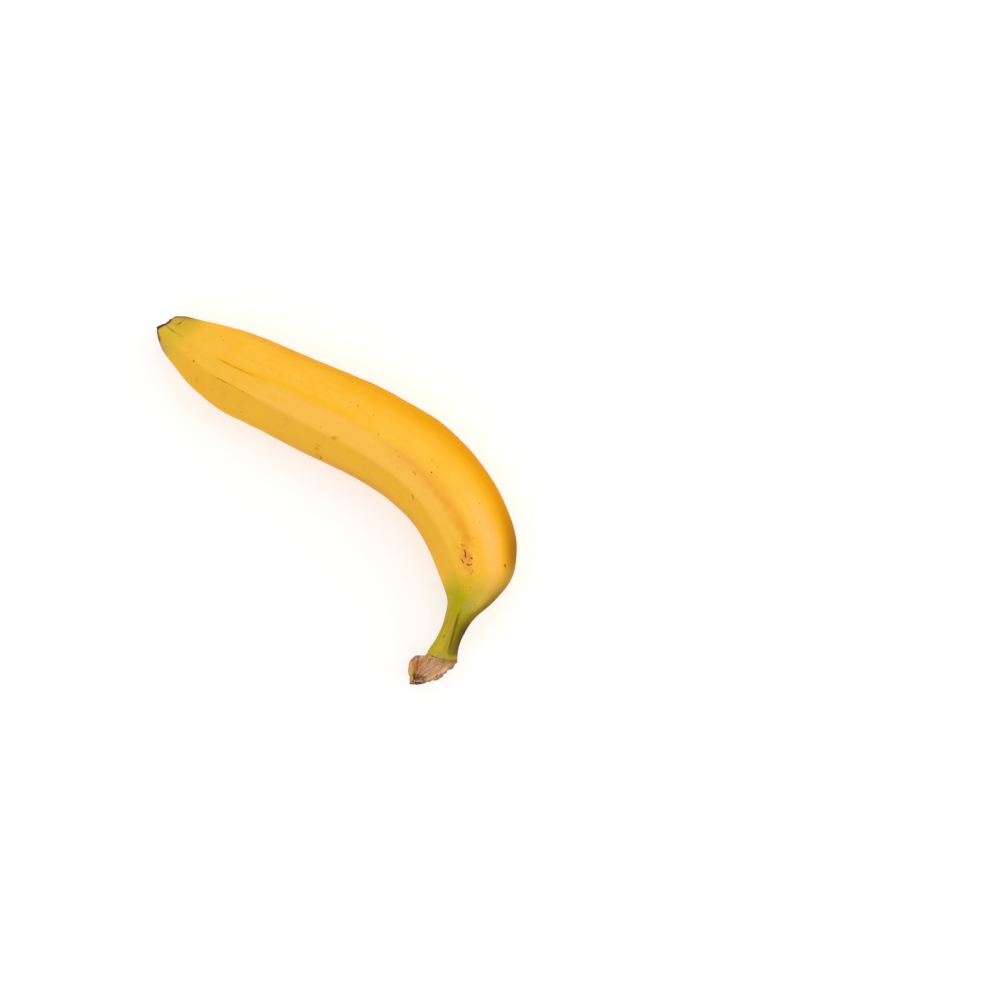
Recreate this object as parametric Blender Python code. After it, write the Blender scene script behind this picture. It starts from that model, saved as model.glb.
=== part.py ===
"""A ripe banana lying on its side, as torn from its hand: one solid.

Metres, +Z up. +X runs from the torn stub towards the blossom end, +Y to the hollow side of the bend,
and the origin is under the middle of the fruit, on the surface that it lies on.
"""

import bpy
import numpy as np

MM = 0.001
NAME = "banana"

# Each station is one cross-section, from the blossom end to the torn stub, in millimetres:
# the plan position of its inner edge and of its outer edge, its half height, and how far its
# underside is above the surface.
STATIONS = (
    # blossom end
    ((84.5, 35.0), (84.9, 26.8), 4.0, 9.4),
    ((81.4, 36.7), (82.0, 22.8), 6.7, 7.0),
    ((74.2, 37.7), (76.2, 17.0), 10.5, 3.2),
    ((63.8, 37.3), (68.2, 10.0), 13.9, 0.9),
    # body
    ((49.3, 33.8), (56.8, 1.7), 16.1, 0.1),
    ((33.1, 25.9), (41.5, -8.1), 17.2, 0.0),
    ((15.0, 15.8), (26.9, -17.3), 17.6, 0.0),
    ((-3.4, 5.9), (10.3, -26.7), 17.8, 0.0),
    ((-19.3, -0.7), (-8.0, -34.4), 17.7, 0.0),
    ((-32.1, -2.9), (-28.1, -37.6), 17.3, 0.0),
    ((-43.3, -2.1), (-46.0, -36.1), 16.6, 0.0),
    # shoulder
    ((-52.7, 0.0), (-60.9, -30.6), 15.1, 0.6),
    ((-59.4, 1.6), (-70.0, -21.7), 12.4, 2.8),
    ((-63.4, 3.3), (-73.1, -11.1), 9.0, 6.0),
    # neck
    ((-66.2, 5.9), (-74.1, -1.9), 6.3, 8.8),
    ((-69.9, 10.5), (-76.8, 4.9), 5.5, 9.5),
    ((-73.3, 17.0), (-79.9, 9.4), 5.7, 9.3),
    # torn piece of the crown
    ((-75.1, 21.9), (-83.1, 12.5), 6.2, 8.7),
    ((-73.2, 25.2), (-84.8, 14.8), 6.6, 7.8),
    ((-74.9, 29.1), (-84.9, 18.5), 6.0, 7.0),
    ((-78.4, 31.1), (-85.0, 23.4), 4.8, 7.2),
    ((-80.8, 33.0), (-83.7, 28.1), 2.8, 8.6),
)

# The skin's five ridges, in degrees round a section from its outer edge over the top, at a few
# places along the fruit, and for the face from each ridge to the next how flat it is and how
# many columns of faces it has.
RIDGES_ALONG = (0.0, 75.0, 135.0)
RIDGES = (
    (40.0, 91.0, 111.0, 222.0, 312.0),
    (42.0, 83.0, 114.0, 222.0, 312.0),
    (46.0, 99.0, 126.0, 222.0, 312.0),
)
FLATNESS = (0.45, 0.65, 0.42, 0.45, 0.30)
COLUMNS = (6, 4, 10, 9, 7)
RIDGE_ROUNDING = 3.0
RIDGE_CROWDING = 0.5

# The tear runs across the top of the stub. The skin ends there in a lip, and beyond it the torn
# tissue slopes down and flattens towards the tip.
TEAR_AT = 194.2
TEAR_SKEW = 1.7
TEAR_STEP = 0.8
LIP = 1.0
TEAR_RUN = 6.0
TEAR_FLATNESS = 0.6

PLANTED = 0.35
BLOSSOM_DOME = 0.9
STUB_DOME = 0.8
CAP_RINGS = (0.8, 0.5, 0.22)

# How far along each spacing of the rings starts, and the spacing.
RING_SPACING = ((0.0, 0.9), (8.0, 2.2), (25.0, 4.2), (135.0, 3.4), (150.0, 1.8), (185.0, 0.8))

PEEL_COLOUR = (0.93, 0.53, 0.05, 1.0)
PEEL_ROUGHNESS = 0.45


def clear_scene():
    for thing in list(bpy.data.objects):
        bpy.data.objects.remove(thing)


def through(known, values, wanted):
    """Smooth curve through points: a cubic between each pair, with slopes from their neighbours."""
    slopes = np.gradient(values, known)
    span = np.clip(np.searchsorted(known, wanted) - 1, 0, len(known) - 2)
    width = known[span + 1] - known[span]
    share = (wanted - known[span]) / width
    back = 1 - share
    return (
        values[span] * back**2 * (1 + 2 * share)
        + values[span + 1] * share**2 * (1 + 2 * back)
        + slopes[span] * width * share * back**2
        - slopes[span + 1] * width * share**2 * back
    )


def read_stations():
    """The stations as arrays, with how far along the fruit's middle each one is."""
    inner = np.array([station[0] for station in STATIONS])
    outer = np.array([station[1] for station in STATIONS])
    tall = np.array([station[2] for station in STATIONS])
    lift = np.array([station[3] for station in STATIONS])
    steps = np.linalg.norm(np.diff((inner + outer) / 2, axis=0), axis=1)
    along = np.concatenate([[0.0], np.cumsum(steps)])
    return along, inner, outer, tall, lift


def ridge_angles(along):
    """The ridges drift round the fruit between the blossom end and the bend."""
    drift = [np.interp(along, RIDGES_ALONG, ridge) for ridge in zip(*RIDGES)]
    return np.radians(np.stack(drift, axis=1))


def sharp_radius(ridges, angle):
    """A circle pulled in towards the chord from each ridge to the next, as far as FLATNESS says."""
    radius = np.ones(np.broadcast(ridges[:, :1], angle).shape)
    for here in range(len(FLATNESS)):
        start = ridges[:, here, None]
        end = ridges[:, (here + 1) % len(FLATNESS), None]
        span = np.mod(end - start, 2 * np.pi)
        into = np.mod(angle - start, 2 * np.pi)
        chord = np.cos(span / 2) / np.cos(np.minimum(into, span) - span / 2)
        radius = np.where(into < span, 1 - FLATNESS[here] * (1 - chord), radius)
    return radius


def skin_radius(ridges, angle):
    """The sharp outline, averaged over a few nearby angles to round its ridges."""
    turn = np.radians(RIDGE_ROUNDING)
    weights = (1, 2, 3, 2, 1)
    total = sum(
        weight * sharp_radius(ridges, angle + turn * (place - 2))
        for place, weight in enumerate(weights)
    )
    return total / sum(weights)


def column_angles(ridges):
    """The columns' angles round each ring: one on every ridge, the rest crowded towards ridges."""
    angles = []
    for here, count in enumerate(COLUMNS):
        share = np.arange(count) / count
        share = share - RIDGE_CROWDING * np.sin(2 * np.pi * share) / (2 * np.pi)
        start = ridges[:, here, None]
        span = np.mod(ridges[:, (here + 1) % len(COLUMNS), None] - start, 2 * np.pi)
        angles.append(start + span * share)
    return np.concatenate(angles, axis=1)


def unit_section(along):
    """Each section, scaled to run from -1 to 1 across and from -1 to 1 in height."""
    ridges = ridge_angles(along)
    fine = np.linspace(0, 2 * np.pi, 360, endpoint=False)[None, :]
    found = skin_radius(ridges, fine)
    across, up = found * np.cos(fine), found * np.sin(fine)
    angle = column_angles(ridges)
    radius = skin_radius(ridges, angle)
    shape = []
    for part, whole in ((radius * np.cos(angle), across), (radius * np.sin(angle), up)):
        low = whole.min(axis=1, keepdims=True)
        high = whole.max(axis=1, keepdims=True)
        shape.append((2 * part - high - low) / (high - low))
    return shape


def torn_height(along, across, up, half_height):
    """How high each point is above the middle of its section, pressed down past the tear."""
    past = along[:, None] - TEAR_AT - TEAR_SKEW * across
    flatter = TEAR_FLATNESS * np.clip(past / TEAR_RUN, 0, 1)
    step = LIP * np.clip(past / TEAR_STEP, 0, 1) * np.clip(0.3 + 1.6 * up, 0, 1)
    return half_height * np.where(up > 0, up * (1 - flatter), up) - step


def ring_places(length):
    """Where the rings are along the fruit, closer together towards both ends."""
    starts = [start for start, _ in RING_SPACING] + [length]
    places = []
    for (start, spacing), end in zip(RING_SPACING, starts[1:]):
        count = max(1, round((end - start) / spacing))
        places.append(np.linspace(start, end, count, endpoint=False))
    return np.concatenate(places + [[length]])


def fruit_rings():
    """The points of every ring, as an array of rings by columns by X, Y and Z, in millimetres."""
    known, inner, outer, tall, lift = read_stations()
    along = ring_places(known[-1])
    across, up = unit_section(along)
    low = np.stack([through(known, inner[:, axis], along) for axis in range(2)], axis=1)
    high = np.stack([through(known, outer[:, axis], along) for axis in range(2)], axis=1)
    half_height = through(known, tall, along)[:, None]
    underside = through(known, lift, along)[:, None]
    middle, reach = (low + high) / 2, (high - low) / 2
    plan = middle[:, None, :] + across[:, :, None] * reach[:, None, :]
    above = torn_height(along, across, up, half_height)
    height = underside - PLANTED + half_height + above
    return np.concatenate([plan, height[:, :, None]], axis=2)


def end_cap(ring, before, dome):
    """Smaller and smaller copies of the end ring, domed away from the ring before it, then a pole."""
    centre = ring.mean(axis=0)
    outwards = centre - before.mean(axis=0)
    outwards = outwards / np.linalg.norm(outwards)
    rings = [
        centre + (ring - centre) * share + outwards * dome * (1 - share**2)
        for share in CAP_RINGS
    ]
    return np.array(rings), centre + outwards * dome


def loft(rings, first_pole, last_pole):
    """Quads between neighbouring rings, and a fan of triangles from each pole."""
    count, columns = rings.shape[:2]
    points = np.concatenate([rings.reshape(-1, 3), [first_pole, last_pole]])
    faces = []
    for ring in range(count - 1):
        for column in range(columns):
            beside = (column + 1) % columns
            here, there = ring * columns, (ring + 1) * columns
            faces.append((here + column, there + column, there + beside, here + beside))
    first, last, top = count * columns, count * columns + 1, (count - 1) * columns
    for column in range(columns):
        beside = (column + 1) % columns
        faces.append((first, column, beside))
        faces.append((last, top + beside, top + column))
    return points, faces


def peel_material():
    material = bpy.data.materials.new("peel")
    material.use_nodes = True
    shader = material.node_tree.nodes["Principled BSDF"]
    shader.inputs["Base Color"].default_value = PEEL_COLOUR
    shader.inputs["Roughness"].default_value = PEEL_ROUGHNESS
    shader.inputs["Metallic"].default_value = 0.0
    return material


def resting_cutter(collection):
    """A block below the surface: it leaves the flat spot that the fruit rests on."""
    bpy.ops.mesh.primitive_cube_add(size=0.3, location=(0, 0, -0.15))
    block = bpy.context.object
    block.name = "below_the_surface"
    block.hide_render = True
    block.display_type = "WIRE"
    for holder in list(block.users_collection):
        holder.objects.unlink(block)
    collection.objects.link(block)
    return block


def build():
    clear_scene()
    parts = bpy.data.collections.new(NAME)
    cutters = bpy.data.collections.new("cutters")
    for collection in (parts, cutters):
        bpy.context.scene.collection.children.link(collection)

    rings = fruit_rings()
    blossom, blossom_pole = end_cap(rings[0], rings[1], BLOSSOM_DOME)
    stub, stub_pole = end_cap(rings[-1], rings[-2], STUB_DOME)
    rings = np.concatenate([blossom[::-1], rings, stub])
    points, faces = loft(rings, blossom_pole, stub_pole)

    mesh = bpy.data.meshes.new(NAME)
    mesh.from_pydata((points * MM).tolist(), [], faces)
    mesh.materials.append(peel_material())
    mesh.shade_smooth()
    fruit = bpy.data.objects.new(NAME, mesh)
    parts.objects.link(fruit)

    flat = fruit.modifiers.new("flat_spot", "BOOLEAN")
    flat.operation = "DIFFERENCE"
    flat.object = resting_cutter(cutters)


build()
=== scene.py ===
import math

import bpy
import numpy as np
from mathutils import Matrix, Vector


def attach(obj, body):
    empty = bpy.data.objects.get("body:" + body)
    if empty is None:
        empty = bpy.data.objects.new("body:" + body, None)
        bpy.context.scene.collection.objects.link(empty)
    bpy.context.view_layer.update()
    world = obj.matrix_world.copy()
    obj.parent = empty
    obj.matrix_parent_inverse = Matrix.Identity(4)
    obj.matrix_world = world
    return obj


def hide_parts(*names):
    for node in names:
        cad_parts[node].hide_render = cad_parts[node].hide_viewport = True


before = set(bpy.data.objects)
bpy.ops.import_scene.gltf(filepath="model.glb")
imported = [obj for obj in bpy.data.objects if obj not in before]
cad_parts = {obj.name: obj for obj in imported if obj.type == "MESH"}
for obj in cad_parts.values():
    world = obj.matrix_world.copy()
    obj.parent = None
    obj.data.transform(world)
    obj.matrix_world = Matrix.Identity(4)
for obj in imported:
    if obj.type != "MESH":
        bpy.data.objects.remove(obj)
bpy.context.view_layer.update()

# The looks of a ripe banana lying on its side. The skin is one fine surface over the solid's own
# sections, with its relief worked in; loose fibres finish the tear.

MM = 0.001

# One cross-section a row, from the blossom end to the torn stub, in millimetres: the plan position
# of its inner edge and of its outer edge, its half height, and how far its underside is up.
STATIONS = (
    # blossom end
    ((84.5, 35.0), (84.9, 26.8), 4.0, 9.4),
    ((81.4, 36.7), (82.0, 22.8), 6.7, 7.0),
    ((74.2, 37.7), (76.2, 17.0), 10.5, 3.2),
    ((63.8, 37.3), (68.2, 10.0), 13.9, 0.9),
    # body
    ((49.3, 33.8), (56.8, 1.7), 16.1, 0.1),
    ((33.1, 25.9), (41.5, -8.1), 17.2, 0.0),
    ((15.0, 15.8), (26.9, -17.3), 17.6, 0.0),
    ((-3.4, 5.9), (10.3, -26.7), 17.8, 0.0),
    ((-19.3, -0.7), (-8.0, -34.4), 17.7, 0.0),
    ((-32.1, -2.9), (-28.1, -37.6), 17.3, 0.0),
    ((-43.3, -2.1), (-46.0, -36.1), 16.6, 0.0),
    # shoulder
    ((-52.7, 0.0), (-60.9, -30.6), 15.1, 0.6),
    ((-59.4, 1.6), (-70.0, -21.7), 12.4, 2.8),
    ((-63.4, 3.3), (-73.1, -11.1), 9.0, 6.0),
    # neck
    ((-66.2, 5.9), (-74.1, -1.9), 6.3, 8.8),
    ((-69.9, 10.5), (-76.8, 4.9), 5.5, 9.5),
    ((-73.3, 17.0), (-79.9, 9.4), 5.7, 9.3),
    # torn piece of the crown
    ((-75.1, 21.9), (-83.1, 12.5), 6.2, 8.7),
    ((-73.2, 25.2), (-84.8, 14.8), 6.6, 7.8),
    ((-74.9, 29.1), (-84.9, 18.5), 6.0, 7.0),
    ((-78.4, 31.1), (-85.0, 23.4), 4.8, 7.2),
    ((-80.8, 33.0), (-83.7, 28.1), 2.8, 8.6),
)

# The five ridges, in degrees round a section from its outer edge over the top, at places along the
# fruit. Counted round the fruit in turns, ridge 1 runs along the top, ridge 2 parts the top from
# the inner face, and ridges 3, 4 and 0 are underneath and on the outer side.
RIDGES_ALONG = (0.0, 20.0, 35.0, 50.0, 75.0, 100.0, 120.0, 140.0)
RIDGES = (
    (40.0, 91.0, 112.0, 222.0, 312.0),
    (41.0, 88.5, 110.0, 222.0, 312.0),
    (41.0, 85.0, 106.0, 222.0, 312.0),
    (42.0, 81.5, 107.0, 222.0, 312.0),
    (42.0, 80.0, 109.0, 222.0, 312.0),
    (43.0, 85.0, 112.0, 222.0, 312.0),
    (45.0, 92.0, 116.0, 222.0, 312.0),
    (46.0, 96.0, 118.0, 222.0, 312.0),
)
FLATNESS = (0.45, 0.65, 0.42, 0.45, 0.30)
FACES = len(FLATNESS)
TOP_RIDGE, INNER_RIDGE = 1, 2
ROUNDING_DEGREES, OUTER_ROUNDING = 6.0, 17.0
ROUNDING_STEPS = 6

TEAR_AT, TEAR_SKEW, TEAR_STEP = 194.2, 1.7, 0.5
LIP, TEAR_RUN, TEAR_FLATNESS = 1.0, 6.0, 0.6
FIBRES_MEET = (-82.0, 35.0)

PLANTED = 0.35
BLOSSOM_DOME, STUB_DOME = 0.3, 0.8
BLOSSOM_RUN = 7.0

# The blossom end's rim: how far across, how far it stands out, and how far it leans sideways.
BLOSSOM_RIM = (
    (-1.0, 1.7, 0.83),
    (-0.8, 1.3, 0.45),
    (-0.55, 0.65, -0.1),
    (-0.15, -0.4, -0.08),
    (0.3, -0.3, 0.16),
    (0.8, 0.3, 0.44),
    (1.0, 0.3, 0.6),
)

# Where the sides stand out from the smooth sections: side (-1 inner, 1 outer), place along the
# fruit, reach and height in millimetres.
SWELLS = (
    (-1, 2.0, 2.0, 0.25),
    (-1, 7.8, 5.2, 0.75),
    (-1, 34.0, 13.0, 0.36),
    (-1, 118.0, 20.0, -0.2),
    (-1, 192.0, 2.0, 0.4),
    (-1, 202.8, 2.8, 0.5),
    (1, 2.5, 2.0, 0.35),
    (1, 204.2, 1.9, 0.9),
)

# The fine skin's grid: columns of faces between ridges, and where each spacing of the rings starts.
COLUMNS = (42, 34, 66, 50, 44)
RING_SPACING = ((0.0, 0.3), (5.0, 0.6), (25.0, 0.8), (150.0, 0.62), (184.0, 0.22))
BLOSSOM_RINGS, STUB_RINGS = 16, 12

# The camera looks straight down, as over a light table; plan places are in millimetres.
VIEW_CENTRE = (-42.55, -35.43)
VIEW_PLANE = 17.5
VIEW_WIDTH = 380.0
VIEW_HEIGHT = 900.0
PICTURE_RIGHT = (-0.56826, -0.82285)
PICTURE_UP = (0.82285, -0.56826)
SENSOR = 36.0

FLOOR_DROP = 0.2
FLOOR_SIZE = 8.0
FLOOR_GLOW = 0.46
ROOM_LIGHT = 0.72

# The skin's gloss is set lower than a real waxy peel has, so that the pale room stays out of its edges.
PEEL_IOR, PEEL_SPECULAR = 1.2, 0.05


# Shapes: sections, skin and relief


def through(known, values, wanted):
    """Smooth curve through points: a cubic between each pair, with slopes from their neighbours."""
    slopes = np.gradient(values, known)
    span = np.clip(np.searchsorted(known, wanted) - 1, 0, len(known) - 2)
    width = known[span + 1] - known[span]
    share = (wanted - known[span]) / width
    back = 1 - share
    return (
        values[span] * back**2 * (1 + 2 * share)
        + values[span + 1] * share**2 * (1 + 2 * back)
        + slopes[span] * width * share * back**2
        - slopes[span + 1] * width * share**2 * back
    )


def smooth(value, low, high):
    """From 0 at low to 1 at high, easing in and out: 3 t squared less 2 t cubed."""
    share = np.clip((value - low) / (high - low), 0, 1)
    return share * share * (3 - 2 * share)


def hump(value, centre, width):
    """A bell: e to the power of minus the square of the distance from centre over width."""
    return np.exp(-(((value - centre) / width) ** 2))


def waves(points, size, seed, count=16):
    """Smooth noise of about -1 to 1: the sum of sine waves of random direction and phase."""
    random = np.random.default_rng(seed)
    ways = random.normal(size=(count, points.shape[-1]))
    ways /= np.linalg.norm(ways, axis=1, keepdims=True)
    ways *= 2 * np.pi / size * random.uniform(0.6, 1.5, (count, 1))
    phases = random.uniform(0, 2 * np.pi, count)
    return np.sin(points @ ways.T + phases).sum(axis=-1) / math.sqrt(count)


inner_edge = np.array([station[0] for station in STATIONS])
outer_edge = np.array([station[1] for station in STATIONS])
half_heights = np.array([station[2] for station in STATIONS])
undersides = np.array([station[3] for station in STATIONS])
middle_steps = np.linalg.norm(np.diff((inner_edge + outer_edge) / 2, axis=0), axis=1)
stations_at = np.concatenate([[0.0], np.cumsum(middle_steps)])
LENGTH = stations_at[-1]


def ridge_angles(along):
    """The ridges' angles, which drift round the fruit between the blossom end and the bend."""
    drift = [np.interp(along, RIDGES_ALONG, ridge) for ridge in zip(*RIDGES)]
    return np.radians(np.stack(drift, axis=1))


def angle_of_turn(ridges, turn):
    """The angle of each turn: whole turns lie on ridges, and parts of one spread evenly between."""
    face = np.floor(turn).astype(int) % FACES
    rows = np.arange(len(ridges))[:, None]
    start = ridges[rows, face]
    span = np.mod(ridges[rows, (face + 1) % FACES] - start, 2 * np.pi)
    return start + span * (turn - np.floor(turn))


def sharp_radius(ridges, angle):
    """A circle pulled in towards the chord from each ridge to the next, as far as FLATNESS says."""
    radius = np.ones(angle.shape)
    for here, flatness in enumerate(FLATNESS):
        start = ridges[:, here, None]
        span = np.mod(ridges[:, (here + 1) % FACES, None] - start, 2 * np.pi)
        into = np.mod(angle - start, 2 * np.pi)
        chord = np.cos(span / 2) / np.cos(np.minimum(into, span) - span / 2)
        radius = np.where(into < span, 1 - flatness * (1 - chord), radius)
    return radius


def skin_radius(ridges, angle):
    """The sharp outline averaged over nearby angles, weighted by a triangle, to round its ridges.

    The outer ridge, 0, is averaged over a wider span, so it fades into the side.
    """
    from_outer = np.mod(angle - ridges[:, :1] + np.pi, 2 * np.pi) - np.pi
    reach = np.radians(ROUNDING_DEGREES + OUTER_ROUNDING * hump(from_outer, 0.0, 0.7))
    total, weights = 0.0, 0.0
    for step in range(-ROUNDING_STEPS, ROUNDING_STEPS + 1):
        weight = ROUNDING_STEPS + 1 - abs(step)
        total = total + weight * sharp_radius(ridges, angle + reach * step / ROUNDING_STEPS)
        weights += weight
    return total / weights


def unit_section(along, turn):
    """Each section, scaled to run from -1 to 1 across and from -1 to 1 in height."""
    ridges = ridge_angles(along)
    fine = np.broadcast_to(np.linspace(0, 2 * np.pi, 360, endpoint=False), (len(along), 360))
    found = skin_radius(ridges, fine)
    angle = angle_of_turn(ridges, turn)
    radius = skin_radius(ridges, angle)
    shape = []
    for part, whole in (
        (radius * np.cos(angle), found * np.cos(fine)),
        (radius * np.sin(angle), found * np.sin(fine)),
    ):
        low = whole.min(axis=1, keepdims=True)
        high = whole.max(axis=1, keepdims=True)
        shape.append((2 * part - high - low) / (high - low))
    return shape


def past_tear(along, across):
    """How far past the tear's ragged line each point is, in millimetres."""
    ragged = 0.28 * waves(np.stack([across * 5.0, 0 * across], axis=-1), 3.1, seed=4)
    return along[:, None] - TEAR_AT - TEAR_SKEW * np.minimum(across, 0.55) - ragged


def bare_skin(along, turn):
    """Points of the plain skin: sections between the two edges, pressed down past the tear.

    along is one number a row and turn one a point; gives points, across and up.
    """
    across, up = unit_section(along, turn)
    low = np.stack([through(stations_at, inner_edge[:, axis], along) for axis in range(2)], axis=1)
    high = np.stack([through(stations_at, outer_edge[:, axis], along) for axis in range(2)], axis=1)
    half_height = through(stations_at, half_heights, along)[:, None]
    underside = through(stations_at, undersides, along)[:, None]
    middle, reach = (low + high) / 2, (high - low) / 2
    plan = middle[:, None, :] + across[:, :, None] * reach[:, None, :]
    past = past_tear(along, across)
    flatter = TEAR_FLATNESS * np.clip(past / TEAR_RUN, 0, 1)
    step = LIP * smooth(past, 0, TEAR_STEP) * np.clip(0.3 + 1.6 * up, 0, 1)
    above = half_height * np.where(up > 0, up * (1 - flatter), up) - step
    height = underside - PLANTED + half_height + above
    return np.concatenate([plan, height[:, :, None]], axis=2), across, up


def blossom_shift(along, across):
    """Moves the blossom end's rim as BLOSSOM_RIM says, fading to nothing by BLOSSOM_RUN."""
    inner, outer = inner_edge[0], outer_edge[0]
    beyond = (inner + outer) / 2 - (inner_edge[1] + outer_edge[1]) / 2
    beyond /= np.linalg.norm(beyond)
    sideways = (outer - inner) / np.linalg.norm(outer - inner)
    place, out, aside = np.array(BLOSSOM_RIM).T
    out = np.interp(across, place, out)[..., None]
    aside = np.interp(across, place, aside)[..., None]
    fade = ((1 - smooth(along, 0.0, BLOSSOM_RUN)) ** 2)[:, None, None]
    plan = out * beyond + aside * sideways
    return np.concatenate([plan, np.zeros_like(plan[..., :1])], axis=2) * fade


def outward(points):
    """Unit normals of a grid of points: the cross product of its two directions."""
    down = np.gradient(points, axis=0)
    beside = np.roll(points, -1, axis=1) - np.roll(points, 1, axis=1)
    normals = np.cross(beside, down)
    return normals / np.maximum(np.linalg.norm(normals, axis=2, keepdims=True), 1e-9)


def round_distance(points, turn, ridge):
    """Signed distance of each point from a ridge, measured round its own ring."""
    steps = np.linalg.norm(np.roll(points, -1, axis=1) - points, axis=2)
    travelled = np.cumsum(steps, axis=1) - steps
    around = steps.sum(axis=1, keepdims=True)
    at_ridge = travelled[:, np.argmin(abs(turn[0] - ridge)), None]
    return np.mod(travelled - at_ridge + around / 2, around) - around / 2


def fibre_frame(points):
    """Polar place on the torn face about the point where its fibres meet: sideways and outwards."""
    away = points[..., :2] - np.array(FIBRES_MEET)
    distance = np.linalg.norm(away, axis=-1)
    sideways = np.arctan2(away[..., 1], away[..., 0]) * 9.0
    return np.stack([sideways, distance * 0.16], axis=-1)


def skin_relief(points, along, across, up, distances):
    """How far the skin stands out, in millimetres, as a sum of separate forms."""
    place = along[:, None] + 0 * across
    past = past_tear(along, across)
    torn_face = smooth(past, 0, TEAR_STEP) * smooth(up, -0.35, 0.05)
    body = smooth(place, 4, 16) * (1 - smooth(place, 150, 172))
    swell = 0.16 * waves(points, 34.0, seed=1) + 0.05 * waves(points, 9.0, seed=2)
    relief = swell * body
    for distance in distances:
        relief += 0.16 * hump(distance, 0.0, 1.1) * body
        relief -= 0.07 * (hump(distance, 2.6, 1.2) + hump(distance, -2.6, 1.2)) * body
    neck = smooth(place, 163, 178) * (1 - torn_face)
    strands = np.stack([across * 5.2, up * 5.2, place * 0.05], axis=-1)
    relief += neck * (0.16 * waves(strands, 2.6, seed=5) + 0.04 * waves(strands, 1.1, seed=6))
    groove = np.clip(0.04 * (place - 172) - 0.33, -0.3, 0.34)
    relief -= 0.85 * hump(across, groove, 0.1) * (up > 0) * (
        smooth(place, 170, 180) * (1 - smooth(place, 190, 195))
    )
    lip = hump(past, -0.5, 0.7) * smooth(up, -0.2, 0.3)
    relief += 0.22 * lip * (1 - 0.6 * smooth(across, -0.9, -0.5))
    relief += 0.35 * hump(place, 195.2, 1.8) * smooth(across, 0.55, 1.0) * smooth(past, 1.5, 0.5)
    for side, at, reach, height in SWELLS:
        relief += height * hump(place, at, reach) * smooth(side * across, 0.4, 1.0)
    flap = smooth(past, 1.5, 4.0) * (up > -0.2)
    relief += flap * (0.3 * hump(across, -0.86, 0.09) - 0.35 * hump(across, -0.66, 0.09))
    fibres = fibre_frame(points)
    ropes = waves(fibres, 0.9, seed=7, count=22) + 0.6 * waves(fibres, 0.42, seed=8, count=22)
    relief += torn_face * (0.14 * ropes + 0.12 * waves(points, 3.4, seed=9))
    hollow = hump(across, 0.1, 0.55) * smooth(past, 0.5, 3.0) * (1 - smooth(past, 9, 13))
    relief -= 0.7 * torn_face * hollow
    ragged = smooth(past, 1.0, 4.0) * (1 - smooth(abs(up), 0.25, 0.6))
    relief += ragged * (0.2 * waves(points, 5.2, seed=10) + 0.12 * waves(points, 1.7, seed=16))
    rim = hump(place, 0.0, 1.0)
    relief += rim * (0.08 + 0.1 * waves(points, 2.2, seed=11) + 0.07 * waves(points, 0.9, seed=12))
    return relief


def ring_places():
    """Where the rings are along the fruit, closer together towards both ends."""
    starts = [start for start, _ in RING_SPACING] + [LENGTH]
    places = []
    for (start, spacing), end in zip(RING_SPACING, starts[1:]):
        count = max(1, round((end - start) / spacing))
        places.append(np.linspace(start, end, count, endpoint=False))
    return np.concatenate(places + [[LENGTH]])


def end_cap(ring, before, dome, count):
    """Rings that close an end: the last ring shrunk towards its middle, domed as 1 - share squared."""
    centre = ring.mean(axis=0)
    outwards = centre - before.mean(axis=0)
    outwards /= np.linalg.norm(outwards)
    share = np.linspace(1, 0, count + 1)[1:, None, None]
    rings = centre + (ring - centre) * share + outwards * dome * (1 - share**2)
    rough = 0.16 * waves(rings, 1.5, seed=13) + 0.08 * waves(rings, 0.6, seed=14)
    return rings + outwards * (rough * np.sin(np.pi * share[..., 0]))[..., None]


def closed_mesh(name, rings, fields):
    """A mesh of quads over rings joined round; its first and last rings are poles, closed by fans.

    Each field is a grid of three numbers a point, kept as an attribute of the mesh.
    """
    count, columns = rings.shape[:2]

    def kept(grid):
        """The grid's values at the mesh's points: all inner rings, then the two poles."""
        flat = grid[1:-1].reshape((count - 2) * columns, -1)
        return np.concatenate([flat, grid[0, 0].reshape(1, -1), grid[-1, 0].reshape(1, -1)])

    number = np.arange((count - 2) * columns).reshape(count - 2, columns)
    beside = np.roll(number, -1, axis=1)
    quads = np.stack([number[:-1], beside[:-1], beside[1:], number[1:]], axis=-1).reshape(-1, 4)
    first, last = number.size, number.size + 1
    opening = np.stack([np.full(columns, first), beside[0], number[0]], axis=-1)
    closing = np.stack([np.full(columns, last), number[-1], beside[-1]], axis=-1)
    mesh = bpy.data.meshes.new(name)
    mesh.from_pydata(
        (kept(rings) * MM).tolist(), [], quads.tolist() + opening.tolist() + closing.tolist()
    )
    for field, grid in fields.items():
        attribute = mesh.attributes.new(field, "FLOAT_VECTOR", "POINT")
        attribute.data.foreach_set("vector", kept(grid).astype(np.float32).ravel())
    return mesh


def column_turns():
    """Turns of the columns: evenly from each ridge to the next."""
    return np.concatenate([face + np.arange(count) / count for face, count in enumerate(COLUMNS)])


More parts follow.
